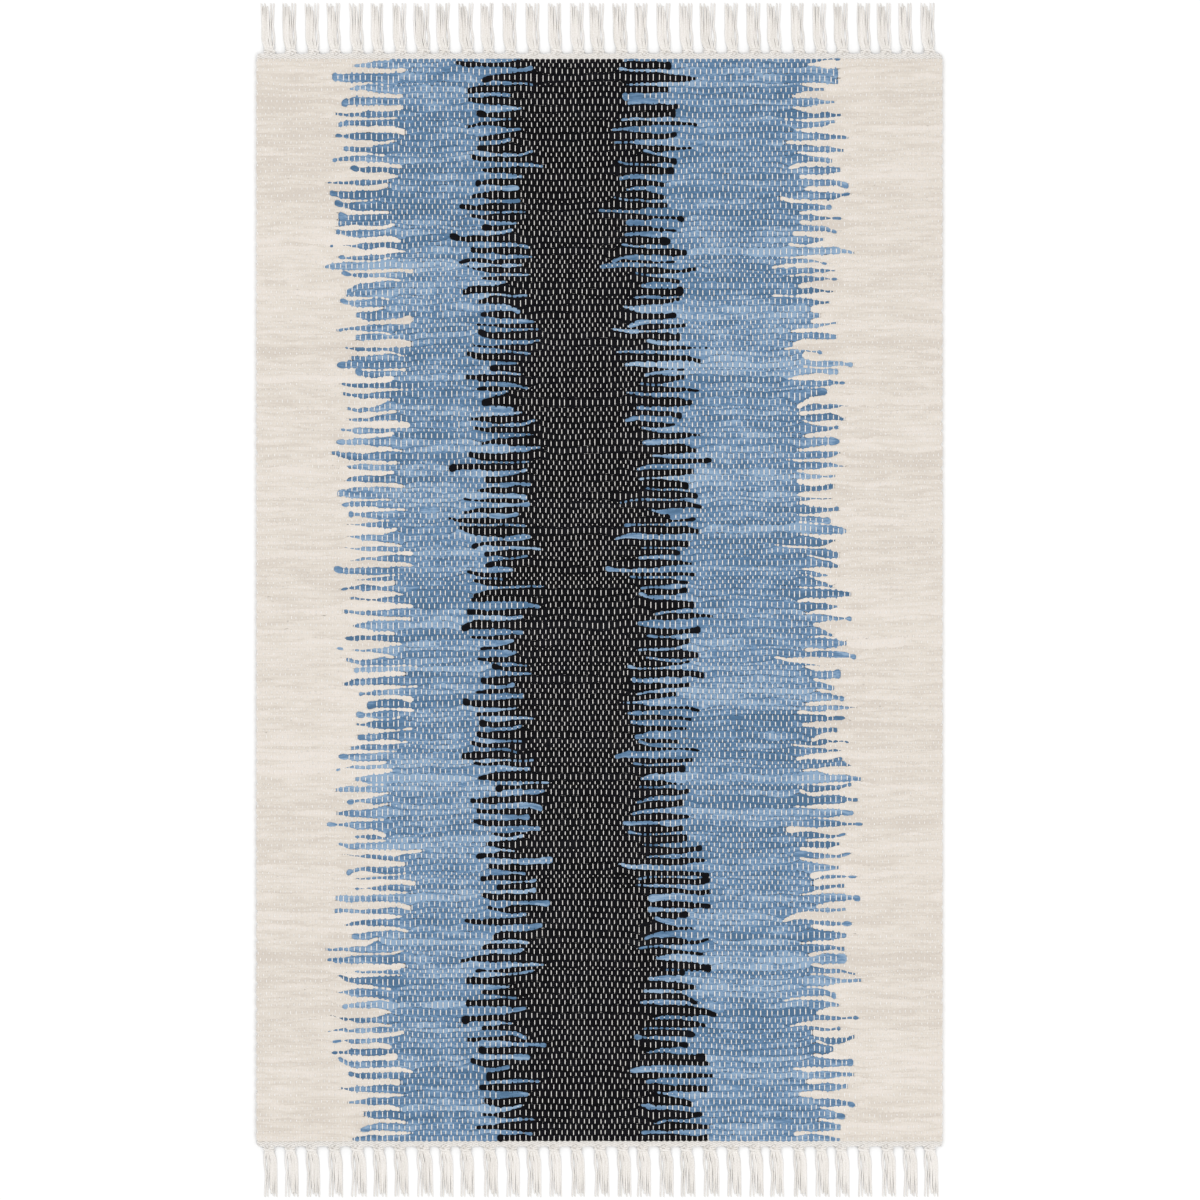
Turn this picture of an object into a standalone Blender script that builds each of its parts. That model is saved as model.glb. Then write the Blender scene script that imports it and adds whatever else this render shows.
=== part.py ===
"""Flat-woven cotton rag rug with a knotted fringe at each end.

The rug lies flat. Its length runs along Y, its width along X, and its underside is at z = 0.
The origin is under its middle. Sizes are in metres.

Three pieces: the rag-woven body, and at each end a narrow woven heading whose warp ends are
knotted into tassels. The body's rags change colour across the width, cream, blue, black, blue
and cream, and each change is feathered, because neighbouring picks change colour further in
and further out by turns.
"""

import math
import random
from collections import namedtuple

import bmesh
import bpy

# The cloth, heading to heading, and how far the fringe goes past it
CLOTH_WIDTH = 0.766
CLOTH_LENGTH = 1.219
FRINGE_LENGTH = 0.0575

# The body: rag picks lie across the rug as ribs
PICKS = 192
RIB_CREST = 0.005
RIB_VALLEY = 0.0038
CREST_UNEVEN = 0.0004
PICK_WANDER = 0.0006  # how far a row of points may stray along the rug, a tenth of a pick

# Where the rags change colour: the middle of each change, and how far a finger reaches past it
Change = namedtuple("Change", "middle reach")
CHANGES = (
    Change(middle=-0.250, reach=0.028),
    Change(middle=-0.108, reach=0.030),
    Change(middle=0.071, reach=0.033),
    Change(middle=0.250, reach=0.026),
)
FINGER_UNEVEN = 0.4  # the most of its reach that a finger lacks

RAG_COLOURS = {
    "cream_rag": (0.77, 0.70, 0.63),
    "blue_rag": (0.19, 0.30, 0.43),
    "black_rag": (0.012, 0.012, 0.016),
}
BANDS = ("cream_rag", "blue_rag", "black_rag", "blue_rag", "cream_rag")

# The heading: a band of plain weave, a little apart from the body
HEADING_WIDTH = 0.0056
HEADING_THICKNESS = 0.003
PART_GAP = 0.0003

# The tassels: warp ends, tied in an overhand knot close to the heading
TASSELS = 31
TASSEL_EDGE = 0.0135  # from the cloth's side to the outermost tassel's middle
TASSEL_UNEVEN = 0.0012
TASSEL_LEAN = 0.002  # how far the ends lie to one side of their knot
WIDE_TASSELS = (7, 20)  # these hold more warp ends, counted from one side
WIDER = 1.2

KNOT_WIDTH = 0.0124
KNOT_LENGTH = 0.0095
KNOT_HEIGHT = 0.0062
KNOT_SIDES = 6
KNOT_BITE = 0.0014  # how far a knot is sunk into the heading's edge
# Along a knot from the heading to the strands, and its girth there, both as shares
KnotRing = namedtuple("KnotRing", "along girth")
KNOT_RINGS = (
    KnotRing(along=0.0, girth=0.74),
    KnotRing(along=0.45, girth=1.0),
    KnotRing(along=1.0, girth=0.68),
)

LOCKS = 4  # strands in a tassel, each standing for two or three warp ends
# A lock's section at a distance from the heading, its lift off the floor, and its share of the
# tassel's lean. The first section is inside the knot.
LockRing = namedtuple("LockRing", "distance pitch width height lift lean")
LOCK_RINGS = (
    LockRing(0.0050, pitch=0.0019, width=0.0016, height=0.0022, lift=0.0014, lean=0.0),
    LockRing(0.0200, pitch=0.0040, width=0.0034, height=0.0026, lift=0.0, lean=0.7),
    LockRing(FRINGE_LENGTH, pitch=0.0039, width=0.0029, height=0.0018, lift=0.0, lean=1.0),
)
LOCK_CROWN = 0.8  # a lock's width on top, as a share of its width on the floor
LOCK_SHORTER = 0.004  # the most by which a lock ends before the longest one
PARTED_LOCK = 0.0009  # the outermost lock of a tassel lies this much further out than the rest

YARN_COLOUR = (0.80, 0.76, 0.71)
COTTON_ROUGHNESS = 0.95

SEED = 7


def cotton(name, colour):
    material = bpy.data.materials.new(name)
    material.use_nodes = True
    shader = material.node_tree.nodes["Principled BSDF"]
    shader.inputs["Base Color"].default_value = (*colour, 1.0)
    shader.inputs["Roughness"].default_value = COTTON_ROUGHNESS
    shader.inputs["Metallic"].default_value = 0.0
    return material


def new_object(name, bm, collection, materials=()):
    bmesh.ops.recalc_face_normals(bm, faces=bm.faces)
    mesh = bpy.data.meshes.new(name)
    bm.to_mesh(mesh)
    bm.free()
    for material in materials:
        mesh.materials.append(material)
    made = bpy.data.objects.new(name, mesh)
    collection.objects.link(made)
    return made


def change_at(change, row, draw):
    """Where a change of colour crosses one row of points.

    Even rows are the valleys between picks. Of the odd rows, the picks' crests, every other one
    has a finger that reaches left, and the rest have one that reaches right.
    """
    if row % 2 == 0:
        return change.middle
    reach = change.reach * (1 - draw.random() * FINGER_UNEVEN)
    return change.middle + (reach if row % 4 == 1 else -reach)


def ribbed_body(collection):
    """One slab with a flat underside and straight selvedges, and a rib for each pick on top."""
    length = CLOTH_LENGTH - 2 * (HEADING_WIDTH + PART_GAP)
    rows = 2 * PICKS
    draw = random.Random(SEED)

    bm = bmesh.new()
    bmesh.ops.create_grid(bm, x_segments=len(BANDS), y_segments=rows, size=0.5)
    bmesh.ops.scale(bm, vec=(CLOTH_WIDTH, length, 1.0), verts=bm.verts)
    raised = bmesh.ops.extrude_face_region(bm, geom=list(bm.faces), use_keep_orig=True)
    colours = list(RAG_COLOURS)
    for face in bm.faces:
        across = face.calc_center_median().x / CLOTH_WIDTH + 0.5
        band = BANDS[min(int(across * len(BANDS)), len(BANDS) - 1)]
        face.material_index = colours.index(band)

    top = {v for v in raised["geom"] if isinstance(v, bmesh.types.BMVert)}
    for vert in sorted(bm.verts, key=lambda v: (round(v.co.y, 6), v.co.x)):
        row = round((vert.co.y / length + 0.5) * rows)
        column = round((vert.co.x / CLOTH_WIDTH + 0.5) * len(BANDS))
        on_change = 0 < column < len(BANDS)
        if vert not in top:
            vert.co.x = CHANGES[column - 1].middle if on_change else vert.co.x
            continue
        vert.co.z = RIB_CREST - draw.random() * CREST_UNEVEN if row % 2 else RIB_VALLEY
        if on_change:
            vert.co.x = change_at(CHANGES[column - 1], row, draw)
        if 0 < row < rows:
            vert.co.y += draw.uniform(-PICK_WANDER, PICK_WANDER)

    bmesh.ops.recalc_face_normals(bm, faces=bm.faces)
    bmesh.ops.dissolve_limit(
        bm,
        angle_limit=math.radians(0.05),
        verts=bm.verts,
        edges=bm.edges,
        delimit={"MATERIAL"},
    )
    rags = [cotton(name, colour) for name, colour in RAG_COLOURS.items()]
    body = new_object("rug_body", bm, collection, rags)
    body.data.shade_smooth()
    body.data.set_sharp_from_angle(angle=math.radians(60))
    return body


def loft(bm, rings):
    """Skins a row of rings, each a list of points with the same count, and closes both ends."""
    loops = [[bm.verts.new(point) for point in ring] for ring in rings]
    edges = []
    for loop in loops:
        edges.append([bm.edges.new((a, b)) for a, b in zip(loop, loop[1:] + loop[:1])])
    for near, far in zip(edges, edges[1:]):
        bmesh.ops.bridge_loops(bm, edges=near + far)
    bm.faces.new(loops[0])
    bm.faces.new(loops[-1])


def knot(bm, x, side, wider):
    """A tied knot: a barrel along Y that lies on the floor along its lowest side."""
    edge = side * CLOTH_LENGTH / 2
    rings = []
    for ring in KNOT_RINGS:
        y = edge + side * (ring.along * KNOT_LENGTH - KNOT_BITE)
        half_width = KNOT_WIDTH / 2 * ring.girth * wider
        half_height = KNOT_HEIGHT / 2 * ring.girth
        points = []
        for k in range(KNOT_SIDES):
            turn = math.tau * k / KNOT_SIDES
            points.append((half_width * math.cos(turn), half_height * math.sin(turn)))
        lowest = min(z for _, z in points)
        rings.append([(x + across, y, z - lowest) for across, z in points])
    loft(bm, rings)


def lock(bm, x, side, place, wider, shorter):
    """One strand of a tassel, four-sided. place counts from -1.5 to 1.5 across its tassel."""
    edge = side * CLOTH_LENGTH / 2
    outermost = place * side == (LOCKS - 1) / 2
    lean = side * (PARTED_LOCK - TASSEL_LEAN) if outermost else -side * TASSEL_LEAN
    rings = []
    for ring in LOCK_RINGS:
        middle = x + place * ring.pitch * wider + lean * ring.lean
        y = edge + side * (ring.distance - shorter * ring.lean * ring.distance / FRINGE_LENGTH)
        half = ring.width * wider / 2
        crown = half * LOCK_CROWN
        rings.append(
            [
                (middle - half, y, ring.lift),
                (middle + half, y, ring.lift),
                (middle + crown, y, ring.lift + ring.height),
                (middle - crown, y, ring.lift + ring.height),
            ]
        )
    loft(bm, rings)


def heading_with_fringe(name, side, collection, cutters, material):
    """The woven band at one end, with every knot and strand grown out of its outer edge."""
    draw = random.Random(SEED + side)
    strip = bmesh.new()
    bmesh.ops.create_cube(strip, size=1.0)
    bmesh.ops.scale(strip, vec=(CLOTH_WIDTH, HEADING_WIDTH, HEADING_THICKNESS), verts=strip.verts)
    middle = side * (CLOTH_LENGTH - HEADING_WIDTH) / 2
    bmesh.ops.translate(strip, vec=(0.0, middle, HEADING_THICKNESS / 2), verts=strip.verts)
    heading = new_object(name, strip, collection, [material])

    tassels = bmesh.new()
    pitch = (CLOTH_WIDTH - 2 * TASSEL_EDGE) / (TASSELS - 1)
    for count in range(TASSELS):
        uneven = draw.uniform(-TASSEL_UNEVEN, TASSEL_UNEVEN)
        x = -CLOTH_WIDTH / 2 + TASSEL_EDGE + pitch * count + uneven
        wider = WIDER if count in WIDE_TASSELS else 1.0
        knot(tassels, x, side, wider)
        for k in range(LOCKS):
            place = k - (LOCKS - 1) / 2
            longest = place * side == (LOCKS - 1) / 2
            shorter = 0.0 if longest else draw.random() * LOCK_SHORTER
            lock(tassels, x, side, place, wider, shorter)
    grown = new_object(name + "_tassels", tassels, cutters)
    grown.hide_render = True
    grown.display_type = "WIRE"

    union = heading.modifiers.new("tassels", "BOOLEAN")
    union.operation = "UNION"
    union.object = grown
    union.use_self = True
    return heading


def main():
    for old in list(bpy.data.objects):
        bpy.data.objects.remove(old)

    rug = bpy.data.collections.new("rag_rug")
    cutters = bpy.data.collections.new("rag_rug_guides")
    bpy.context.scene.collection.children.link(rug)
    bpy.context.scene.collection.children.link(cutters)

    ribbed_body(rug)
    cotton_yarn = cotton("cotton_yarn", YARN_COLOUR)
    heading_with_fringe("fringe_far", 1, rug, cutters, cotton_yarn)
    heading_with_fringe("fringe_near", -1, rug, cutters, cotton_yarn)


main()
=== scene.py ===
import functools
import math
from collections import namedtuple

import bmesh
import bpy
import numpy as np
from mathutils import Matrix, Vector


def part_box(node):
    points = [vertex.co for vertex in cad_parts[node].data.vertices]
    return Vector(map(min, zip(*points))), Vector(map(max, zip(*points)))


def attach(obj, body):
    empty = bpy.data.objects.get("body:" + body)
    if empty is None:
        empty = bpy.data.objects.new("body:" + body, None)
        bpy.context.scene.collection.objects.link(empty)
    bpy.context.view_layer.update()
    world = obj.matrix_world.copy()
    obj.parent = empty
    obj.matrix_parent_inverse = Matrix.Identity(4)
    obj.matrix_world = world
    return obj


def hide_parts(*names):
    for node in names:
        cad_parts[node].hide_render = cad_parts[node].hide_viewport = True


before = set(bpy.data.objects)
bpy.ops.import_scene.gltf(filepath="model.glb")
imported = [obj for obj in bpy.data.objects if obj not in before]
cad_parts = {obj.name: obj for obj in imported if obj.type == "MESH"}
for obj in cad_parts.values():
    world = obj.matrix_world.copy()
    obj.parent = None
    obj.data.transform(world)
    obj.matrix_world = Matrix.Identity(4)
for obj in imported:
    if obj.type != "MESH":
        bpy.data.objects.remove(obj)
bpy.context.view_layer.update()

# The set-up of the loom. The rug is a plain weave: 248 cotton warp ends run along Y, and 192
# picks of bunched cotton rag run across them, each pick over one end and under the next. The
# places of every end and pick come from this plan, which has the unevenness of handwork in it.
MM = 0.001
draw = np.random.default_rng(seed=20)

body_low, body_high = (np.array(corner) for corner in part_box("rug_body"))
TASSELS = 31
ENDS_IN_TASSEL = 8
ENDS = TASSELS * ENDS_IN_TASSEL
PICKS = 192
HEADING = 5.6 * MM  # the width of the plain band at each end of the cloth
PART_GAP = 0.3 * MM  # between the body and a heading in the solids
WIDTH = body_high[0] - body_low[0]
LENGTH = body_high[1] - body_low[1] + 2 * PART_GAP
PICK = LENGTH / PICKS
END_PITCH = WIDTH / ENDS
END_STRAY = 0.38 * MM
MIDDLE_Z = 2.5 * MM  # the height of the cloth's middle over the floor


def smooth(share):
    """Eases a share between 0 and 1, so that it starts and stops softly."""
    share = np.clip(share, 0.0, 1.0)
    return share * share * (3 - 2 * share)


def uneven(rows, columns, waves):
    """Rows of smooth random unevenness, each drawn through so many random heights."""
    heights = draw.standard_normal((rows, waves + 1))
    at = np.linspace(0, waves, columns)
    low = np.minimum(at.astype(int), waves - 1)
    share = smooth(at - low)
    return heights[:, low] * (1 - share) + heights[:, low + 1] * share


def drift(bands, waves):
    """Unevenness that neighbouring picks share, in so many bands along the rug."""
    heights = uneven(bands + 1, ENDS, waves)
    at = np.linspace(0, bands, PICKS + 1)
    low = np.minimum(at.astype(int), bands - 1)
    share = smooth(at - low)[:, None]
    return heights[low] * (1 - share) + heights[low + 1] * share


end_x = body_low[0] + END_PITCH * (np.arange(ENDS) + 0.5)
crossing_x = end_x + END_STRAY * uneven(ENDS, PICKS, waves=14).T

# Where each pick changes colour. A weaver lays five lengths of rag in a pick, cream, blue,
# black, blue and cream, and joins them further out and further in by turns, so every change
# is a row of interlocked fingers. The places follow a rule with seeded chance.

# The mean places of the tips that point outwards and inwards and how far they stray, all in mm
# from the rug's middle; how far the change leans over the rug's length, in mm; the chance of a
# knot on an outward finger; the slim stretch behind an inward tip, in mm; and the tips' widths as
# shares of a pick.
Change = namedtuple("Change", "out inner out_stray in_stray lean knots in_neck out_tip in_tip")
CHANGES = (
    Change(-287, -224, 8.8, 9.5, lean=14, knots=0.4, in_neck=6, out_tip=0.62, in_tip=0.5),
    Change(-138, -78, 10.5, 11.5, lean=20, knots=0.6, in_neck=18, out_tip=0.72, in_tip=0.47),
    Change(103, 38, 11.3, 10.7, lean=26, knots=0.6, in_neck=18, out_tip=0.72, in_tip=0.47),
    Change(271, 223, 8.4, 10.8, lean=16, knots=0.4, in_neck=6, out_tip=0.54, in_tip=0.52),
)
STRAY_LIMITS = (-2.0, 2.4)  # the furthest that a tip strays, in times the usual stray
SLOW_STRAY = 4.5 * MM  # what neighbouring tips stray together
SLIP_CHANCE = 0.022  # of a pick that points the same way as the one before it
IN_KNOTTED = 0.25  # the chance of a knot on an inward finger

# A finger is pointed or blunt at its tip, may end in a lump where the rag is knotted to the next
# colour, and has a neck behind it before it grows to the pick's whole width.
TIP_VARIES = 0.22
OUT_NECK = 20  # mm, the longest slim stretch behind an outward tip
GROW = (12, 30)  # mm, over which a finger grows to the pick's whole width
IN_GROW = 2.5  # an inward finger grows this many times more slowly
KNOT_MIDDLE = 2.6 * MM
KNOT_REACH = 3.0 * MM
KNOT_STRETCH = (0.5, 1.9)  # a knot's own length, in times the usual one
KNOT_WIDTH = 1.05  # what a knot would bring its finger to, as a share of a pick
KNOT_SHARE = (0.1, 0.45)  # how far a knot goes towards that
KNOT_COVERS = KNOT_MIDDLE + 0.8 * KNOT_REACH  # how far behind its tip a knot hides the warp
TIP_COVERS = 0.5 * MM  # how far beyond its tip a finger still hides the warp
NECK_COVERS = (0.8, 2.2)  # how far an inward finger hides the warp, in times its neck
NECK_HIDES = (0.55, 1.0)  # and how much of the warp's height it hides there
BEYOND_TIP = 7.0 * MM
BEND = 0.3 * PICK
BEND_REACH = 9.0 * MM
TIP_ZONE = 20.0 * MM  # within this of a tip, a wide rag is bunched no wider than the rest

change_x = np.zeros((PICKS, len(CHANGES)))
points_to = np.zeros((PICKS, len(CHANGES)))
knotted = np.zeros((PICKS, len(CHANGES)), dtype=bool)
knot_long = draw.uniform(*KNOT_STRETCH, (PICKS, len(CHANGES)))
lacks = np.zeros((PICKS, ENDS))
bent = np.zeros((PICKS, ENDS))
near_tip = np.zeros((PICKS, ENDS))
lumpy = np.zeros((PICKS, ENDS))
smothered = np.zeros((PICKS, ENDS))
along = (np.arange(PICKS) + 0.5) / PICKS
for c, change in enumerate(CHANGES):
    slips = np.cumsum(draw.random(PICKS) < SLIP_CHANCE)
    out = (np.arange(PICKS) + slips) % 2 == 0
    outward = math.copysign(1.0, change.out - change.inner)
    points_to[:, c] = np.where(out, outward, -outward)
    chance = np.clip(draw.standard_normal(PICKS), *STRAY_LIMITS)
    middle = np.where(out, change.out, change.inner) * MM
    stray = np.where(out, change.out_stray, change.in_stray) * MM
    shared = change.lean * MM * (0.5 - along) + SLOW_STRAY * uneven(1, PICKS, waves=13)[0]
    change_x[:, c] = middle + points_to[:, c] * chance * stray + shared
    knotted[:, c] = draw.random(PICKS) < np.where(out, change.knots, IN_KNOTTED)

    behind = points_to[:, c, None] * (change_x[:, c, None] - crossing_x)
    tip = np.where(out, change.out_tip, change.in_tip)
    tip = tip + draw.uniform(-TIP_VARIES, TIP_VARIES, PICKS)
    neck = np.where(out, OUT_NECK, change.in_neck) * MM * draw.random(PICKS) ** 2
    grow = draw.uniform(*GROW, PICKS) * np.where(out, 1.0, IN_GROW) * MM
    knot_more = draw.uniform(*KNOT_SHARE, PICKS)
    grown = np.clip((behind - neck[:, None]) / grow[:, None], 0.0, 1.0)
    finger = tip[:, None] + (1 - tip[:, None]) * grown
    beyond = 1 - (1 - tip[:, None]) * (1 - smooth(-behind / BEYOND_TIP))
    width = np.where(behind > 0, finger, beyond)
    along_knot = behind / knot_long[:, c, None]
    lump = knotted[:, c, None] * np.exp(-(((along_knot - KNOT_MIDDLE) / KNOT_REACH) ** 2))
    width += knot_more[:, None] * (KNOT_WIDTH - width) * lump
    lacks += 1 - width
    near_tip = np.maximum(near_tip, smooth(1 - np.abs(behind) / TIP_ZONE))
    bent += BEND * draw.standard_normal(PICKS)[:, None] * np.exp(-((behind / BEND_REACH) ** 2))
    lump_ends = (behind > -TIP_COVERS) & (along_knot < KNOT_COVERS)
    lumpy = np.maximum(lumpy, lump_ends & (out & knotted[:, c])[:, None])
    bare = change.in_neck * MM * draw.uniform(*NECK_COVERS, PICKS)[:, None]
    fluff = np.where(out, 0.0, draw.uniform(*NECK_HIDES, PICKS))[:, None]
    smothered = np.maximum(smothered, fluff * ((behind > -TIP_COVERS) & (behind < bare)))

# The lanes that the picks lie in. Rags are torn wider and narrower, a narrow finger's
# neighbours spread into its room, and the whole cloth wanders a little as it is beaten in.
RAG_VARIES = 0.24
RAG_LIMITS = (-0.45, 0.55)
LONG_SWELL = 0.15  # a rag's swelling over about 30 mm, as a share of a pick
SHORT_SWELL = 0.09  # and over about 7 mm
SWELL_LIMITS = (-0.4, 1.0)
JOSTLE = 0.16 * MM  # how a pick's edge wavers between its neighbours
BROAD_WANDER = 1.1 * MM
FINE_WANDER = 0.75 * MM
BROAD_SETS_IN = 12  # picks from an end, by which the cloth wanders fully
FINE_SETS_IN = 4
LEAST_LANE = 0.36 * PICK

rag_width = 1 + np.clip(RAG_VARIES * draw.standard_normal(PICKS), *RAG_LIMITS)
edges = np.concatenate([[0.0], np.cumsum(rag_width)]) / rag_width.sum() * LENGTH - LENGTH / 2
edge_y = np.repeat(edges[:, None], ENDS, axis=1)
lacks += np.maximum(0, rag_width - 1)[:, None] * near_tip
lacks += LONG_SWELL * uneven(PICKS, ENDS, waves=26) + SHORT_SWELL * uneven(PICKS, ENDS, waves=110)
lacks = np.clip(lacks, *SWELL_LIMITS)
edge_y[1:-1] += (lacks[1:] - lacks[:-1]) * PICK / 2
edge_y[1:-1] += bent[1:] + bent[:-1]
edge_y[1:-1] += JOSTLE * uneven(PICKS - 1, ENDS, waves=60)
from_end = np.minimum(np.arange(PICKS + 1), PICKS - np.arange(PICKS + 1))
broad = np.minimum(1, from_end / BROAD_SETS_IN)[:, None]
edge_y += broad * BROAD_WANDER * drift(bands=8, waves=7)
fine = np.minimum(1, from_end / FINE_SETS_IN)[:, None]
edge_y += fine * FINE_WANDER * drift(bands=36, waves=20)

lane_y = (edge_y[1:] + edge_y[:-1]) / 2
lane_width = np.maximum(edge_y[1:] - edge_y[:-1], LEAST_LANE)
rag_on_top = (np.arange(PICKS)[:, None] + np.arange(ENDS)) % 2 == 0

# Where the rag hides the warp end over it: at a knotted tip, along an inward finger as far as it
# is slim, and at a few fluffy places, of which the black stripe has the fewest. The soft cream
# rags half hide it everywhere.
NOT_SLIM = 1.3  # the share of a pick from which a rag is no longer slim
SLIM_FADES = 0.3
FLUFFY_IN_BLACK = 2.7  # the heights of chance from which a place is fluffy
FLUFFY_ELSEWHERE = 1.9
FLUFFY_FADES = 0.5
CREAM_HIDES = 0.52

in_black = (crossing_x > change_x[:, 1:2]) & (crossing_x < change_x[:, 2:3])
in_cream = (crossing_x < change_x[:, :1]) | (crossing_x > change_x[:, 3:])
slim = smooth((NOT_SLIM - lane_width / PICK) / SLIM_FADES)
fluffy_from = np.where(in_black, FLUFFY_IN_BLACK, FLUFFY_ELSEWHERE)
fluffy = slim * smooth((uneven(PICKS, ENDS, waves=40) - fluffy_from) / FLUFFY_FADES)
sunk = np.maximum.reduce([lumpy, fluffy, smothered * slim, CREAM_HIDES * in_cream])


# The rag weft. Each length of rag is one closed four-sided tube, flat on top as a bunched strip
# is, that rises over one warp end and dips under the next. At a join the finger's rag lies over
# the end of the other one, and at the selvedges a pick turns towards the next.
@functools.cache
def bare_tube(rings, sides):
    """A straight closed tube, with the ring and the side that each of its points is on."""
    bm = bmesh.new()
    bmesh.ops.create_circle(bm, segments=sides, radius=1.0)
    bmesh.ops.spin(
        bm,
        geom=bm.verts[:] + bm.edges[:],
        axis=(0, 0, 1),
        cent=(0, 0, 0),
        dvec=(0, 0, 1),
        angle=0.0,
        steps=rings - 1,
    )
    bmesh.ops.holes_fill(bm, edges=bm.edges, sides=sides)
    bmesh.ops.recalc_face_normals(bm, faces=bm.faces)
    mesh = bpy.data.meshes.new("bare_tube")
    bm.to_mesh(mesh)
    bm.free()
    places = np.zeros(3 * len(mesh.vertices))
    mesh.vertices.foreach_get("co", places)
    places = places.reshape(-1, 3)
    ring = np.round(places[:, 2]).astype(int)
    turn = np.arctan2(places[:, 1], places[:, 0]) / math.tau
    order = np.round((turn - turn.min()) * sides).astype(int) % sides
    return mesh, ring, order


def laid(path, wide, high, section, facing=None):
    """The points of a tube laid along a path, with its half width and half height at each ring.

    Its rings face along the path, or all of them the one way that facing gives.
    """
    path = np.asarray(path)
    tangent = np.gradient(path, axis=0) if facing is None else np.tile(facing, (len(path), 1))
    tangent = tangent / np.linalg.norm(tangent, axis=1, keepdims=True)
    across = np.cross((0.0, 0.0, 1.0), tangent)
    across = across / np.linalg.norm(across, axis=1, keepdims=True)
    lift = np.cross(tangent, across)
    section = np.asarray(section)
    sideways = across[:, None] * (np.asarray(wide)[:, None] * section[:, 0])[..., None]
    upwards = lift[:, None] * (np.asarray(high)[:, None] * section[:, 1])[..., None]
    return path[:, None] + sideways + upwards


def strands(name, lengths, dyes, crisp=None):
    """Joins closed tubes, each given by its points ring by ring, into one piece.

    The piece has a map with a row for each strand, along which the strand runs from left to
    right, and a value for each strand's own shade. Edges sharper than the crisp angle stay so.
    """
    sides = lengths[0].shape[1]
    bm = bmesh.new()
    points, row, run, side = [], [], [], []
    for count, length in enumerate(lengths):
        mesh, ring, order = bare_tube(len(length), sides)
        bm.from_mesh(mesh)
        points.append(length[ring, order])
        row.append(np.full(len(ring), count))
        run.append(ring / (len(length) - 1))
        side.append(order)
    points, row, run, side = (np.concatenate(part) for part in (points, row, run, side))

    mesh = bpy.data.meshes.new(name)
    bm.to_mesh(mesh)
    bm.free()
    mesh.vertices.foreach_set("co", points.astype(np.float32).ravel())
    shade = mesh.attributes.new("dye", "FLOAT", "POINT")
    shade.data.foreach_set("value", np.asarray(dyes, dtype=np.float32)[row])

    corner = np.zeros(len(mesh.loops), dtype=int)
    mesh.loops.foreach_get("vertex_index", corner)
    starts = np.zeros(len(mesh.polygons), dtype=int)
    mesh.polygons.foreach_get("loop_start", starts)
    counts = np.diff(np.append(starts, len(corner)))
    around = side[corner]
    wraps = np.repeat(np.maximum.reduceat(around, starts) == sides - 1, counts)
    around = np.where(wraps & (around == 0), sides, around)
    layer = mesh.uv_layers.new(name="OFBake")
    flat = np.stack([run[corner], (row[corner] + around / sides) / len(lengths)], axis=1)
    layer.data.foreach_set("uv", flat.astype(np.float32).ravel())
    mesh.shade_smooth()
    if crisp:
        mesh.set_sharp_from_angle(angle=math.radians(crisp))
    mesh.update()
    piece = bpy.data.objects.new(name, mesh)
    bpy.context.scene.collection.objects.link(piece)
    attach(piece, "root")
    return piece


ALONG_X = (1.0, 0.0, 0.0)
RAG_SECTION = ((1.0, 1.0), (-1.0, 1.0), (-0.97, -0.85), (0.97, -0.85))
RAG_HALF_THICK = 1.35 * MM
NARROW_THICK = 0.72  # the thickness that the narrowest rag keeps, as a share
WIDEST_COUNTED = 1.25  # a rag wider than this many picks is no thicker for it
RAG_RISE = 0.35 * MM
SUNK_RISE = 0.45 * MM  # where the rag hides the warp end over it
# A rag puffs up where it lies over a warp end, and is drawn in where it lies under one
PUFF = {"cream": 0.05, "blue": 0.14, "black": 0.14}
SPREAD = {"cream": 0.25 * MM, "blue": -0.1 * MM, "black": -0.1 * MM}
# The last three rings of a rag, from its tip inwards, and its width and thickness there
TIP_AT = np.array([0.0, 0.7, 1.9]) * MM
TIP_WIDE = np.array([0.34, 0.68, 0.93])
TIP_THICK = np.array([0.45, 0.75, 0.95])
CLEAR_OF_TIP = 0.5 * MM  # no ring is set closer than this to those three
UNDER_LAP = 3.5 * MM  # how far a rag goes on under the finger that it is joined to
# At a selvedge a rag turns aside, by a share of its width, and is drawn in
TURN_ASIDE = 0.22
TURN_WIDE = 0.62
TURN_THICK = 0.8
# What a knot, a slub and the place under another finger add to a rag's width, thickness and lift
Swelling = namedtuple("Swelling", "wider thicker lift")
KNOT = Swelling(wider=0.1, thicker=0.3, lift=0.3 * MM)
SLUB = Swelling(wider=0.18, thicker=0.2, lift=0.0)
TUCKED = Swelling(wider=-0.3, thicker=-0.35, lift=-0.5 * MM)
SLUB_CHANCE = 0.003
RAG_LUMPS = 0.07
BANDS = ("cream_left", "blue_left", "black", "blue_right", "cream_right")

slub = (draw.random((PICKS, ENDS)) < SLUB_CHANCE).astype(float)
rag_lumps = 1 + RAG_LUMPS * draw.standard_normal((PICKS, ENDS))
rag_rise = np.where(rag_on_top, RAG_RISE, -RAG_RISE + (RAG_RISE + SUNK_RISE) * sunk)
selvedges = np.array([body_low[0], body_high[0]])
joins = np.concatenate(
    [np.full((PICKS, 1), selvedges[0]), change_x, np.full((PICKS, 1), selvedges[1])], axis=1
)

RagEnd = namedtuple("RagEnd", "place inward change kind")


def rag_end(pick, band, inward):
    """The left end of a length of rag, whose inside is at +1 from it, or the right one, at -1."""
    change = band - 1 if inward > 0 else band
    place = joins[pick, change + 1]
    if not 0 <= change < len(CHANGES):
        return RagEnd(place, inward, change, "selvedge")
    if points_to[pick, change] == inward:
        return RagEnd(place - inward * UNDER_LAP, inward, change, "tucked")
    return RagEnd(place, inward, change, "finger")


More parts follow.
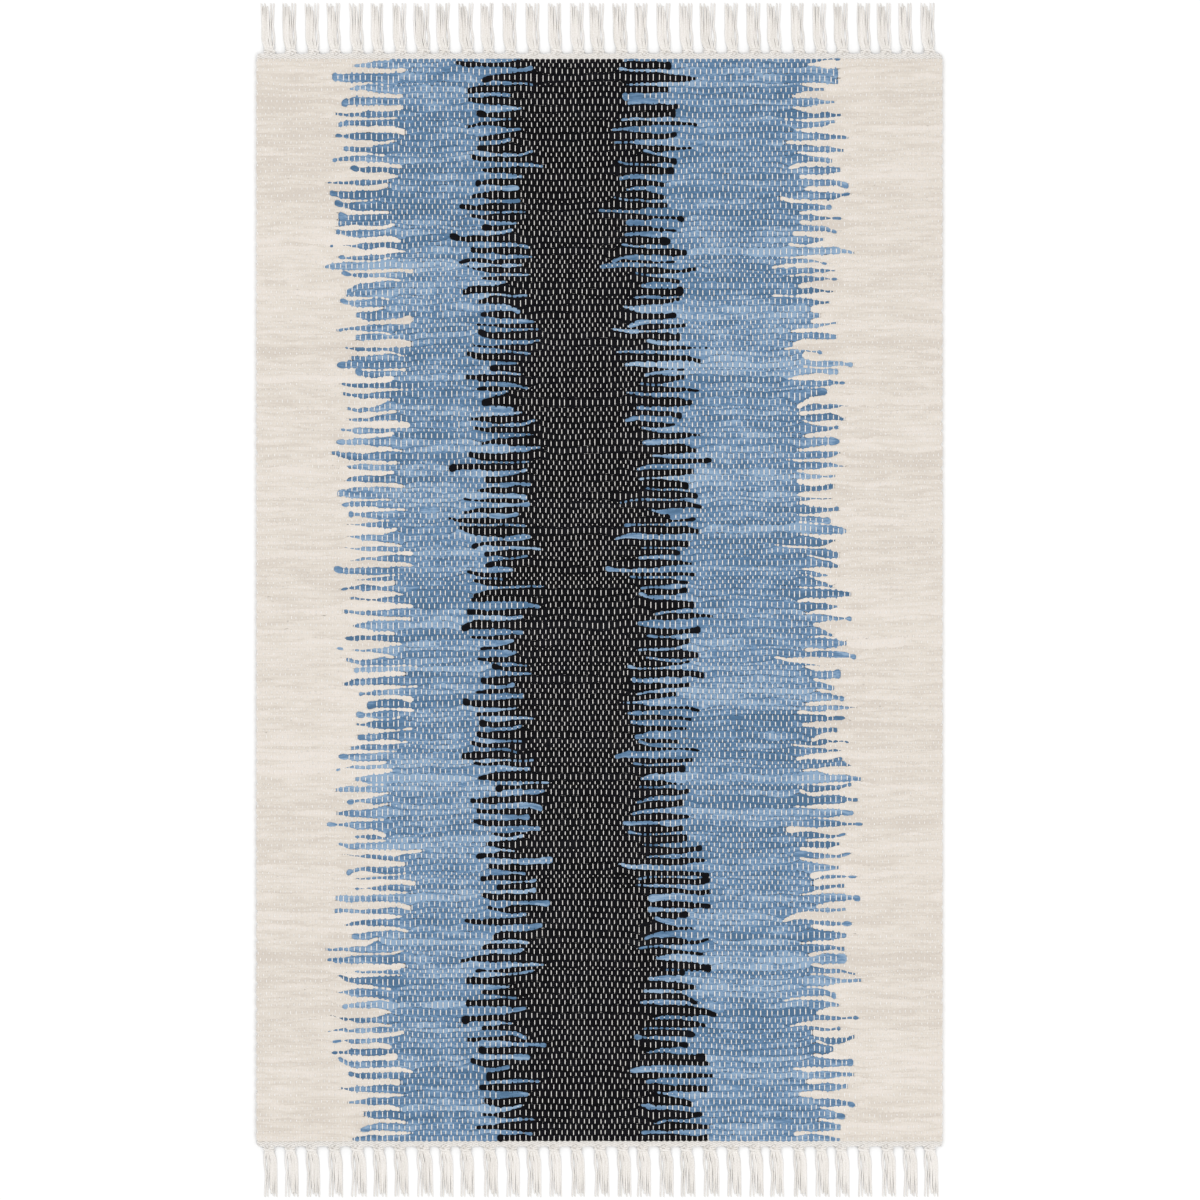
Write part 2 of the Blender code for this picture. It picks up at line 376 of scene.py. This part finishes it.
def rag_length(pick, band):
    """One length of rag, the part of a pick that is of one colour."""
    left, right = rag_end(pick, band, 1), rag_end(pick, band, -1)
    starts = left.place + (TIP_AT[:1] if left.kind == "selvedge" else TIP_AT)
    stops = right.place - (TIP_AT[:1] if right.kind == "selvedge" else TIP_AT[::-1])
    columns = crossing_x[pick]
    clear = (columns > starts[-1] + CLEAR_OF_TIP) & (columns < stops[0] - CLEAR_OF_TIP)
    x = np.concatenate([starts, columns[clear], stops])

    knot = np.zeros(len(x))
    tucked = np.zeros(len(x))
    for end in (left, right):
        behind = end.inward * (x - end.place)
        if end.kind == "finger" and knotted[pick, end.change]:
            along_knot = behind / knot_long[pick, end.change]
            knot += np.exp(-(((along_knot - KNOT_MIDDLE) / KNOT_REACH) ** 2))
        elif end.kind == "tucked":
            tucked = np.maximum(tucked, 1 - smooth((behind - UNDER_LAP) / MM))

    y = np.interp(x, columns, lane_y[pick])
    wide = np.interp(x, columns, lane_width[pick])
    rise = np.interp(x, columns, rag_rise[pick])
    lumps = np.interp(x, columns, rag_lumps[pick])
    slubs = np.interp(x, columns, slub[pick])
    share = wide / PICK
    rag = BANDS[band].split("_")[0]
    half = wide / 2 + SPREAD[rag] * np.minimum(1.0, share)
    half *= 1 + PUFF[rag] * rise / RAG_RISE
    half *= lumps * (1 + KNOT.wider * knot + SLUB.wider * slubs) * (1 + TUCKED.wider * tucked)
    fullness = NARROW_THICK + (1 - NARROW_THICK) * np.minimum(share, WIDEST_COUNTED)
    thick = RAG_HALF_THICK * fullness * (1 + KNOT.thicker * knot + SLUB.thicker * slubs)
    thick *= 1 + TUCKED.thicker * tucked
    z = MIDDLE_Z + rise + KNOT.lift * knot + TUCKED.lift * tucked
    for end, rings in ((left, [0, 1, 2]), (right, [-1, -2, -3])):
        if end.kind == "selvedge":
            last = rings[0]
            to_next = (pick % 2 == 0) == (end is left)
            y[last] += (TURN_ASIDE if to_next else -TURN_ASIDE) * wide[last]
            half[last] *= TURN_WIDE
            thick[last] *= TURN_THICK
        else:
            half[rings] *= TIP_WIDE
            thick[rings] *= TIP_THICK
    path = np.stack([x, y, z], axis=1)
    return laid(path, half, thick, RAG_SECTION, facing=ALONG_X)


lengths = {band: [] for band in BANDS}
for pick in range(PICKS):
    for count, band in enumerate(BANDS):
        lengths[band].append(rag_length(pick, count))


# The rags' finish: cotton jersey and sheeting torn into strips, dull, creased along the strip,
# and of slightly different shades from strip to strip.
def linear(hex_colour):
    """An sRGB hex colour as the linear colour that a shader takes."""
    parts = [int(hex_colour[k : k + 2], 16) / 255 for k in (1, 3, 5)]
    return (*(p / 12.92 if p <= 0.04045 else ((p + 0.055) / 1.055) ** 2.4 for p in parts), 1.0)


def add(tree, kind, inputs=None, **settings):
    """Adds a node, with its settings, and with each input set to a value or linked to a socket."""
    made = tree.nodes.new("ShaderNode" + kind)
    for key, value in settings.items():
        setattr(made, key, value)
    for key, value in (inputs or {}).items():
        if isinstance(value, bpy.types.NodeSocket):
            tree.links.new(value, made.inputs[key])
        else:
            made.inputs[key].default_value = value
    return made


COTTON_ROUGHNESS = 0.93
COTTON_SPECULAR = 0.12
STREAK_DETAIL = 5.0
CREASE_DETAIL = 4.0
CREASE_MOTTLE_AND_PAINTED_SHADE = 0.33  # how far the colour goes towards the darkest shade in a crease's hollow and the lightest on its ridge: partly the cloth's mottling, partly painted shade and painted light
SHADES_AT = (0.3, 0.5, 0.7)  # where the noise has the darkest, the middle and the lightest shade
Strand = namedtuple("Strand", "length girth in_map")
Streak = namedtuple("Streak", "length width")


def cotton(name, shades, strand_spread, strand, streak, crease, crease_depth, rib_depth=0.0):
    """Dull cotton whose shade runs through three colours, by strand and in streaks along it.

    A strand's length and girth, and how many strands share the map, turn a streak's real size
    into the map's scale. A crease has its sizes along X, Y and Z. The bump has the creases, and
    a rib over each warp end that shows through from below. The creases also make the colour
    darker in their hollows and lighter on their ridges: partly the cloth's mottling, partly
    painted shade and painted light.
    """
    streaks_in_map = (strand.length / streak.length, strand.in_map * strand.girth / streak.width, 1.0)
    creases_in_metre = tuple(1 / size for size in crease)
    material = bpy.data.materials.new(name)
    material.use_nodes = True
    tree = material.node_tree
    shader = tree.nodes["Principled BSDF"]
    place = add(tree, "UVMap", uv_map="OFBake")
    along = add(tree, "Mapping", {"Vector": place.outputs["UV"], "Scale": streaks_in_map})
    streaks = add(
        tree, "TexNoise", {"Vector": along.outputs[0], "Scale": 1.0, "Detail": STREAK_DETAIL}
    )
    where = add(tree, "TexCoord")
    stretched = add(
        tree, "Mapping", {"Vector": where.outputs["Object"], "Scale": creases_in_metre}
    )
    creases = add(
        tree, "TexNoise", {"Vector": stretched.outputs[0], "Scale": 1.0, "Detail": CREASE_DETAIL}
    )
    dye = add(tree, "Attribute", attribute_name="dye")
    by_strand = add(
        tree,
        "Math",
        {0: dye.outputs["Fac"], 1: strand_spread, 2: streaks.outputs["Fac"]},
        operation="MULTIPLY_ADD",
    )
    # The crease noise darkens the colour in its hollows and lightens it on its ridges: partly the
    # cloth's mottling, partly painted shade and painted light
    mottle_and_painted_shade = add(
        tree,
        "MapRange",
        {"Value": creases.outputs["Fac"], "To Min": -CREASE_MOTTLE_AND_PAINTED_SHADE, "To Max": CREASE_MOTTLE_AND_PAINTED_SHADE},
    )
    tone = add(
        tree, "Math", {0: by_strand.outputs[0], 1: mottle_and_painted_shade.outputs["Result"]}, operation="ADD"
    )
    ramp = add(tree, "ValToRGB", {"Fac": tone.outputs[0]})
    ramp.color_ramp.elements[0].position = SHADES_AT[0]
    ramp.color_ramp.elements[0].color = linear(shades[0])
    ramp.color_ramp.elements[1].position = SHADES_AT[2]
    ramp.color_ramp.elements[1].color = linear(shades[2])
    ramp.color_ramp.elements.new(SHADES_AT[1]).color = linear(shades[1])
    tree.links.new(ramp.outputs["Color"], shader.inputs["Base Color"])

    split = add(tree, "SeparateXYZ", {"Vector": where.outputs["Object"]})
    turns = add(
        tree, "Math", {0: split.outputs["X"], 1: math.tau / END_PITCH}, operation="MULTIPLY"
    )
    wave = add(tree, "Math", {0: turns.outputs[0]}, operation="COSINE")
    ribs = add(tree, "Math", {0: wave.outputs[0], 1: -rib_depth / 2}, operation="MULTIPLY")
    height = add(
        tree,
        "Math",
        {0: creases.outputs["Fac"], 1: crease_depth, 2: ribs.outputs[0]},
        operation="MULTIPLY_ADD",
    )
    bump = add(tree, "Bump", {"Height": height.outputs[0], "Distance": 1.0, "Strength": 1.0})
    tree.links.new(bump.outputs["Normal"], shader.inputs["Normal"])
    shader.inputs["Roughness"].default_value = COTTON_ROUGHNESS
    shader.inputs["Specular IOR Level"].default_value = COTTON_SPECULAR
    return material


RAG_GIRTH = 18 * MM
RAGS = {
    # Undyed cotton: a warm off-white, nearly even, with long soft creases and the warp's ribs
    "cream": cotton(
        "undyed_cotton_rag",
        shades=("#D1C8BE", "#DBD3C9", "#E2DAD2"),
        strand_spread=0.08,
        strand=Strand(length=129 * MM, girth=RAG_GIRTH, in_map=PICKS),
        streak=Streak(length=43 * MM, width=4.5 * MM),
        crease=(13.3 * MM, 1.11 * MM, 1.67 * MM),
        crease_depth=0.25 * MM,
        rib_depth=0.34 * MM,
    ),
    # Dyed cotton: a greyish blue, mottled in streaks and from strip to strip, sharply creased
    "blue": cotton(
        "dusty_blue_cotton_rag",
        shades=("#4D6C8A", "#6584A4", "#8EA7C0"),
        strand_spread=0.11,
        strand=Strand(length=160 * MM, girth=RAG_GIRTH, in_map=PICKS),
        streak=Streak(length=32 * MM, width=4.5 * MM),
        crease=(6.25 * MM, 1.25 * MM, 1.67 * MM),
        crease_depth=0.5 * MM,
        rib_depth=0.09 * MM,
    ),
    # Dyed cotton: so dark and dull that only its creases catch a little light; their ridges are also
    # painted lighter and their hollows darker, as painted light and painted shade
    "black": cotton(
        "black_cotton_rag",
        shades=("#060609", "#0A0A0F", "#131318"),
        strand_spread=0.07,
        strand=Strand(length=180 * MM, girth=RAG_GIRTH, in_map=PICKS),
        streak=Streak(length=36 * MM, width=4.5 * MM),
        crease=(6.25 * MM, 1.25 * MM, 1.67 * MM),
        crease_depth=0.5 * MM,
        rib_depth=0.09 * MM,
    ),
}

# Several picks come from one torn cloth, so that a strip's dye is much like its neighbours'
DYE_SHARED = 0.45
DYE_OWN = 0.75
FOLD_ANGLE = 50  # degrees, from which an edge of a rag looks like a fold
for band in BANDS:
    rag = band.split("_")[0]
    dyes = DYE_SHARED * uneven(1, PICKS, waves=26)[0] + DYE_OWN * draw.standard_normal(PICKS)
    weft = strands("weft_" + band, lengths[band], dyes, crisp=FOLD_ANGLE)
    weft.data.materials.append(RAGS[rag])
    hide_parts("rug_body")

# The warp: plied cotton yarn, 1.2 mm thick. Each end is one yarn from tassel to tassel. It shows
# as a dash where it goes over a rag, and beyond the headings it turns in towards its tassel.
YARN_SECTION = ((0.87, 0.5), (-0.87, 0.5), (0.0, -1.0))
YARN_RADIUS = 0.7 * MM
YARN_IN_BLACK = 0.7  # between the black rags less of a yarn's thickness shows
# The yarn's height over the cloth's middle: over a rag, under one, and less where a rag hides it
YARN_OVER = 1.6 * MM
YARN_UNDER = -1.8 * MM
YARN_SUNK = 0.5 * MM
DASH_SHARE = 0.14  # half a dash's length, as a share of the pick that it crosses
DASH_VARIES = 0.25
DASH_HIDDEN = 0.5  # how much shorter a dash is where a rag hides it
SHOTS = 5
SHOT = HEADING / SHOTS
HEADING_Z = MIDDLE_Z + 0.2 * MM
HEADING_RISE = 0.36 * MM
TASSEL_EDGE = 13.5 * MM  # from the rug's side to the outermost tassel's middle
TASSEL_STRAY = 1.6 * MM
IN_KNOT_PITCH = 1.2 * MM
# A warp end's way into its knot: the share of the way across that it has gone, its distance past
# the heading, and its height over the cloth's middle
Gather = namedtuple("Gather", "across past lift")
GATHERS = (
    Gather(across=0.2, past=0.0, lift=0.2 * MM),
    Gather(across=0.75, past=0.35 * MM, lift=0.5 * MM),
    Gather(across=1.0, past=2.6 * MM, lift=0.0),
)

knot_x = {}
for side in (-1, 1):
    tassel_pitch = (WIDTH - 2 * TASSEL_EDGE) / (TASSELS - 1)
    knot_x[side] = body_low[0] + TASSEL_EDGE + tassel_pitch * np.arange(TASSELS)
    knot_x[side] += draw.uniform(-TASSEL_STRAY, TASSEL_STRAY, TASSELS)
dash_share = DASH_SHARE * (1 + DASH_VARIES * draw.standard_normal((PICKS, ENDS)))


def gathered(end, side):
    """The last stretch of a warp end, along the heading's edge and into its tassel's knot."""
    in_knot = (end % ENDS_IN_TASSEL - (ENDS_IN_TASSEL - 1) / 2) * IN_KNOT_PITCH
    way = knot_x[side][end // ENDS_IN_TASSEL] + in_knot - end_x[end]
    edge = side * (LENGTH / 2 + HEADING)
    return [(end_x[end] + way * g.across, edge + side * g.past, MIDDLE_Z + g.lift) for g in GATHERS]


def end_is_over(end, shot, side):
    """Whether a warp end goes over a heading's shot, which is counted from the body outwards."""
    first = 1 if side < 0 else PICKS
    return (shot + end + first) % 2 == 1


def through_heading(end, side):
    """A warp end's points over and under the shots of one heading, from the body outwards."""
    points = []
    for shot in range(SHOTS):
        rise = HEADING_RISE if end_is_over(end, shot, side) else -HEADING_RISE
        points.append((end_x[end], side * (LENGTH / 2 + (shot + 0.5) * SHOT), HEADING_Z + rise))
    return points


def warp_end(end):
    """One warp end, from its near tassel over and under every pick to its far one."""
    path = gathered(end, -1)[::-1] + through_heading(end, -1)[::-1]
    radius = [YARN_RADIUS] * len(path)
    for pick in range(PICKS):
        x, y = crossing_x[pick, end], lane_y[pick, end]
        drawn_in = YARN_IN_BLACK if in_black[pick, end] else 1.0
        if rag_on_top[pick, end]:
            path.append((x, y, MIDDLE_Z + YARN_UNDER))
        else:
            hidden = sunk[pick, end]
            dash = lane_width[pick, end] * dash_share[pick, end] * (1 - DASH_HIDDEN * hidden)
            z = MIDDLE_Z + YARN_OVER - YARN_SUNK * hidden
            path.append((x, y - dash, z))
            path.append((x, y + dash, z))
        radius += [YARN_RADIUS * drawn_in] * (len(path) - len(radius))
    path += through_heading(end, 1) + gathered(end, 1)
    radius += [YARN_RADIUS] * (len(path) - len(radius))
    return laid(path, radius, radius, YARN_SECTION)


# Plied undyed cotton: paler than the rags, with a fine grain. The real twist is under a
# millimetre and too fine for the picture, so the grain is drawn twice as coarse. The streaks have
# their size on the warp, a third of whose ends share a map, and are finer on shorter yarns.
WARP_PIECES = 3
YARN_GIRTH = 4 * MM
COTTON_YARN = cotton(
    "plied_cotton_yarn",
    shades=("#DFDBD5", "#EBE7E2", "#F2EFEC"),
    strand_spread=0.06,
    strand=Strand(length=1320 * MM, girth=YARN_GIRTH, in_map=ENDS / WARP_PIECES),
    streak=Streak(length=3.3 * MM, width=YARN_GIRTH / 3),
    crease=(1.43 * MM, 1.43 * MM, 1.43 * MM),
    crease_depth=0.15 * MM,
)

shares_of_warp = np.array_split(np.arange(ENDS), WARP_PIECES)
for name, ends in zip(("warp_left", "warp_middle", "warp_right"), shares_of_warp):
    warp = strands(name, [warp_end(end) for end in ends], draw.standard_normal(len(ends)))
    warp.data.materials.append(COTTON_YARN)
    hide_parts("rug_body")

# The headings: at each end the weaver beats in five shots of the warp's own yarn, so that the
# rags can't slip off. They lie close, over and under every warp end, and the outermost stops
# short of the selvedges, which rounds the cloth's corners.
SHOT_RADIUS = 0.98 * MM
SHOT_INSET = 0.4 * MM  # from the selvedge to a shot's end, and from there to its first crossing
SHOT_STRAY = 0.1 * MM
CORNER = 3.2 * MM
CORNER_SHOTS = 2  # the last shots, over which the corner is rounded
for name, node, side in (("heading_near", "fringe_near", -1), ("heading_far", "fringe_far", 1)):
    shots = []
    for shot in range(SHOTS):
        rises = np.where(end_is_over(np.arange(ENDS), shot, side), -HEADING_RISE, HEADING_RISE)
        in_corner = max(0, shot - (SHOTS - 1 - CORNER_SHOTS)) / CORNER_SHOTS
        stops_short = SHOT_INSET + CORNER * in_corner
        low, high = selvedges + np.array([stops_short, -stops_short])
        inside = (end_x > low + SHOT_INSET) & (end_x < high - SHOT_INSET)
        x = np.concatenate([[low], end_x[inside], [high]])
        z = HEADING_Z + np.concatenate([[0.0], rises[inside], [0.0]])
        strays = SHOT_STRAY * uneven(1, len(x), waves=30)[0]
        y = side * (LENGTH / 2 + (shot + 0.5) * SHOT) + strays
        path = np.stack([x, y, z], axis=1)
        radius = np.full(len(x), SHOT_RADIUS)
        shots.append(laid(path, radius, radius, YARN_SECTION, facing=ALONG_X))
    heading = strands(name, shots, draw.standard_normal(len(shots)))
    heading.data.materials.append(COTTON_YARN)
    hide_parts(node)

# The tassels: eight warp ends at a time are tied in an overhand knot against the heading. Past
# the knot the yarns spread and lie on the floor, most of them in one flat lock and the last few
# a little apart, with an eye-shaped gap where they part.
ROUND_SECTION = tuple((math.cos(a), math.sin(a)) for a in np.arange(4) * math.pi / 2)
WIDE_TASSELS = (7, 20)
WIDER = 1.18
TASSEL_VARIES = 0.05

# An overhand knot drawn as one smooth line, which crosses itself three times, over and under
KNOT_LONG = 4.2 * MM
KNOT_WIDE = 9.4 * MM
KNOT_RISE = 1.1 * MM
KNOT_LIFT = 0.5 * MM
KNOT_YARN = 1.15 * MM
KNOT_FROM_EDGE = 3.1 * MM
KNOT_RINGS = 27
KNOT_END = 2.15  # the line's parameter runs to this on both sides of the knot's middle
STRAIGHT_FROM = 1.9  # from here on the line comes in to the tassel's middle
STRAIGHT_OVER = 0.25
CROSSINGS = (-1.932, -1.732, -0.518, 0.518, 1.732, 1.932)
CROSSING_HEIGHTS = (1, -1, 1, -1, 1, -1)
# Of the three strands side by side, the next one is larger by these shares, and the outer two
# lie a little lower
STRAND_WIDER = 0.2
STRAND_LONGER = 0.14
STRAND_LOWER = 0.25 * MM

# Loose yarns, all in mm. Where each lies across its tassel, from the knot's middle, at these
# distances from the heading
YARN_STATIONS = (4.0, 8.0, 14.0, 21.0, 32.0, 42.0, 57.5)
YARNS = (
    {"across": (-3.4, -5.1, -7.3, -8.0, -8.0, -8.4, -8.8), "short": 0.0, "lift": 0.0},
    {"across": (-2.5, -3.9, -5.9, -6.6, -6.6, -7.0, -7.2), "short": 3.8, "lift": 0.3},
    {"across": (-1.5, -2.7, -4.5, -5.2, -5.1, -5.3, -5.1), "short": 0.3, "lift": 0.0},
    {"across": (-0.6, -1.5, -3.2, -3.8, -3.7, -3.9, -3.6), "short": 4.2, "lift": 0.4},
    {"across": (0.3, -0.3, -1.9, -2.4, -2.2, -2.4, -2.2), "short": 3.2, "lift": 0.1},
    {"across": (1.3, 1.4, 0.4, -0.9, -0.7, -0.9, -1.6), "short": 8.0, "lift": 0.4},
    {"across": (2.3, 2.6, 2.0, 0.6, 1.2, 1.7, 1.7), "short": 0.0, "lift": 0.0},
    {"across": (3.2, 4.2, 5.1, 5.1, 3.3, 4.4, 4.9), "short": 0.0, "lift": 0.3},
)
YARN_RINGS = (2.5, 4, 6, 8, 11, 15, 20, 25, 31, 38, 45)  # and two more at the cut tip
LOOSE_RADIUS = 1.0
FLATTENED = 0.8
CUT_VARIES = 0.4
CUT_LONG = 1.0
CUT_THIN = 0.7
STRAY_STATIONS = (0, 20, 38, 60)  # a yarn strays at the last two of these
LOOSE_STRAY = 0.3
OUT_OF_KNOT = 1.6  # a yarn leaves the knot this much higher, and is down by 17 mm
DOWN_BY = 17
DOWN_OVER = 12
LIFT_ENDS = 46  # its own lift fades out by here
LIFT_FADES = 20
THINS_FROM = 32
THINS_OVER = 16
THINNER = 0.3


def overhand_knot(x, side, size):
    """The knot's three crossings, as three strands side by side along one knotted line."""
    t = np.linspace(-KNOT_END, KNOT_END, KNOT_RINGS)
    along = (t**3 - 3 * t) / 4
    straight = smooth((np.abs(t) - STRAIGHT_FROM) / STRAIGHT_OVER)
    across = (t**4 - 4 * t**2 + 2) / 4 * (1 - straight)
    over = np.interp(t, CROSSINGS, CROSSING_HEIGHTS)
    edge = side * (LENGTH / 2 + HEADING)
    out = []
    for strand in (-1, 0, 1):
        wide = KNOT_WIDE * (1 + STRAND_WIDER * strand) * size
        long = KNOT_LONG * (1 + STRAND_LONGER * strand)
        path = np.stack(
            [
                x + side * across * wide,
                edge + side * (KNOT_FROM_EDGE + along * long),
                MIDDLE_Z + KNOT_LIFT + over * KNOT_RISE - STRAND_LOWER * abs(strand),
            ],
            axis=1,
        )
        radius = np.full(len(t), KNOT_YARN)
        out.append(laid(path, radius, radius, ROUND_SECTION))
    return out


def tassel_yarn(x, side, yarn, size):
    """One loose warp end, from inside the knot to its cut tip."""
    reach = YARN_STATIONS[-1] - yarn["short"] - draw.random() * CUT_VARIES
    at = np.array([*YARN_RINGS, reach - CUT_LONG, reach])
    across = np.interp(at, YARN_STATIONS, yarn["across"])
    strays = np.concatenate([[0, 0], LOOSE_STRAY * draw.standard_normal(2)])
    across = across * size + np.interp(at, STRAY_STATIONS, strays)
    z = LOOSE_RADIUS * FLATTENED + yarn["lift"] * smooth((LIFT_ENDS - at) / LIFT_FADES)
    z += OUT_OF_KNOT * smooth((DOWN_BY - at) / DOWN_OVER)
    edge = side * (LENGTH / 2 + HEADING)
    path = np.stack([x + side * across * MM, edge + side * at * MM, z * MM], axis=1)
    radius = LOOSE_RADIUS * MM * (1 - THINNER * smooth((at - THINS_FROM) / THINS_OVER))
    radius[-1] *= CUT_THIN
    return laid(path, radius, radius * FLATTENED, ROUND_SECTION)


for name, node, side in (("tassels_near", "fringe_near", -1), ("tassels_far", "fringe_far", 1)):
    yarns, knots = [], []
    for count, x in enumerate(knot_x[side]):
        size = WIDER if count in WIDE_TASSELS else 1 + TASSEL_VARIES * draw.standard_normal()
        knots += overhand_knot(x, side, size)
        yarns += [tassel_yarn(x, side, yarn, size) for yarn in YARNS]
    tied = yarns + knots
    tassel = strands(name, tied, draw.standard_normal(len(tied)))
    tassel.data.materials.append(COTTON_YARN)
    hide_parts(node)

# A plain pale floor under the rug, and the soft light of a studio from all round, a little
# stronger from the lower right, so that the picks show their relief.
FLOOR_HALF = 4.0
FLOOR_Z = -0.2 * MM  # just below the rug, so that no two faces lie in one plane
bm = bmesh.new()
bmesh.ops.create_grid(bm, x_segments=1, y_segments=1, size=FLOOR_HALF)
bmesh.ops.translate(bm, vec=(0.0, 0.0, FLOOR_Z), verts=bm.verts)
floor_mesh = bpy.data.meshes.new("floor")
bm.to_mesh(floor_mesh)
bm.free()
floor = bpy.data.objects.new("floor", floor_mesh)
bpy.context.scene.collection.objects.link(floor)
# Painted board: a flat, even, nearly white ground
pale_floor = bpy.data.materials.new("pale_floor")
pale_floor.use_nodes = True
paint = pale_floor.node_tree.nodes["Principled BSDF"]
paint.inputs["Base Color"].default_value = linear("#F4F4F4")
paint.inputs["Roughness"].default_value = 0.9
floor_mesh.materials.append(pale_floor)


def soft_light(name, place, size, power):
    """A square lamp that points at the rug's middle."""
    light = bpy.data.lights.new(name, "AREA")
    light.shape = "SQUARE"
    light.size = size
    light.energy = power
    lamp = bpy.data.objects.new(name, light)
    lamp.location = place
    lamp.rotation_euler = (-Vector(place)).to_track_quat("-Z", "Y").to_euler()
    bpy.context.scene.collection.objects.link(lamp)


soft_light("key_light", place=(-2.6, 2.2, 4.2), size=2.4, power=66.0)
soft_light("fill_light", place=(2.8, -2.4, 4.2), size=3.0, power=82.0)
ROOM_LIGHT = 0.8
world = bpy.data.worlds.new("studio")
world.use_nodes = True
world.node_tree.nodes["Background"].inputs["Color"].default_value = (1.0, 1.0, 1.0, 1.0)
world.node_tree.nodes["Background"].inputs["Strength"].default_value = ROOM_LIGHT
bpy.context.scene.world = world
bpy.context.scene.view_settings.view_transform = "Standard"

# The camera looks straight down through a long lens, as the photograph does.
FRAME_WIDTH = 1.3396  # what the picture takes in at the height of the rug's top, in metres
RUG_TOP = 4 * MM
AIM_X = 0.6 * MM  # the picture's middle is a little beside the rug's
LENS = 100.0
SENSOR = 36.0
camera = bpy.data.objects.new("camera", bpy.data.cameras.new("camera"))
camera.data.lens = LENS
camera.data.sensor_width = SENSOR
camera.data.clip_end = 100.0
camera.location = (AIM_X, 0.0, FRAME_WIDTH * LENS / SENSOR + RUG_TOP)
bpy.context.scene.collection.objects.link(camera)
bpy.context.scene.camera = camera
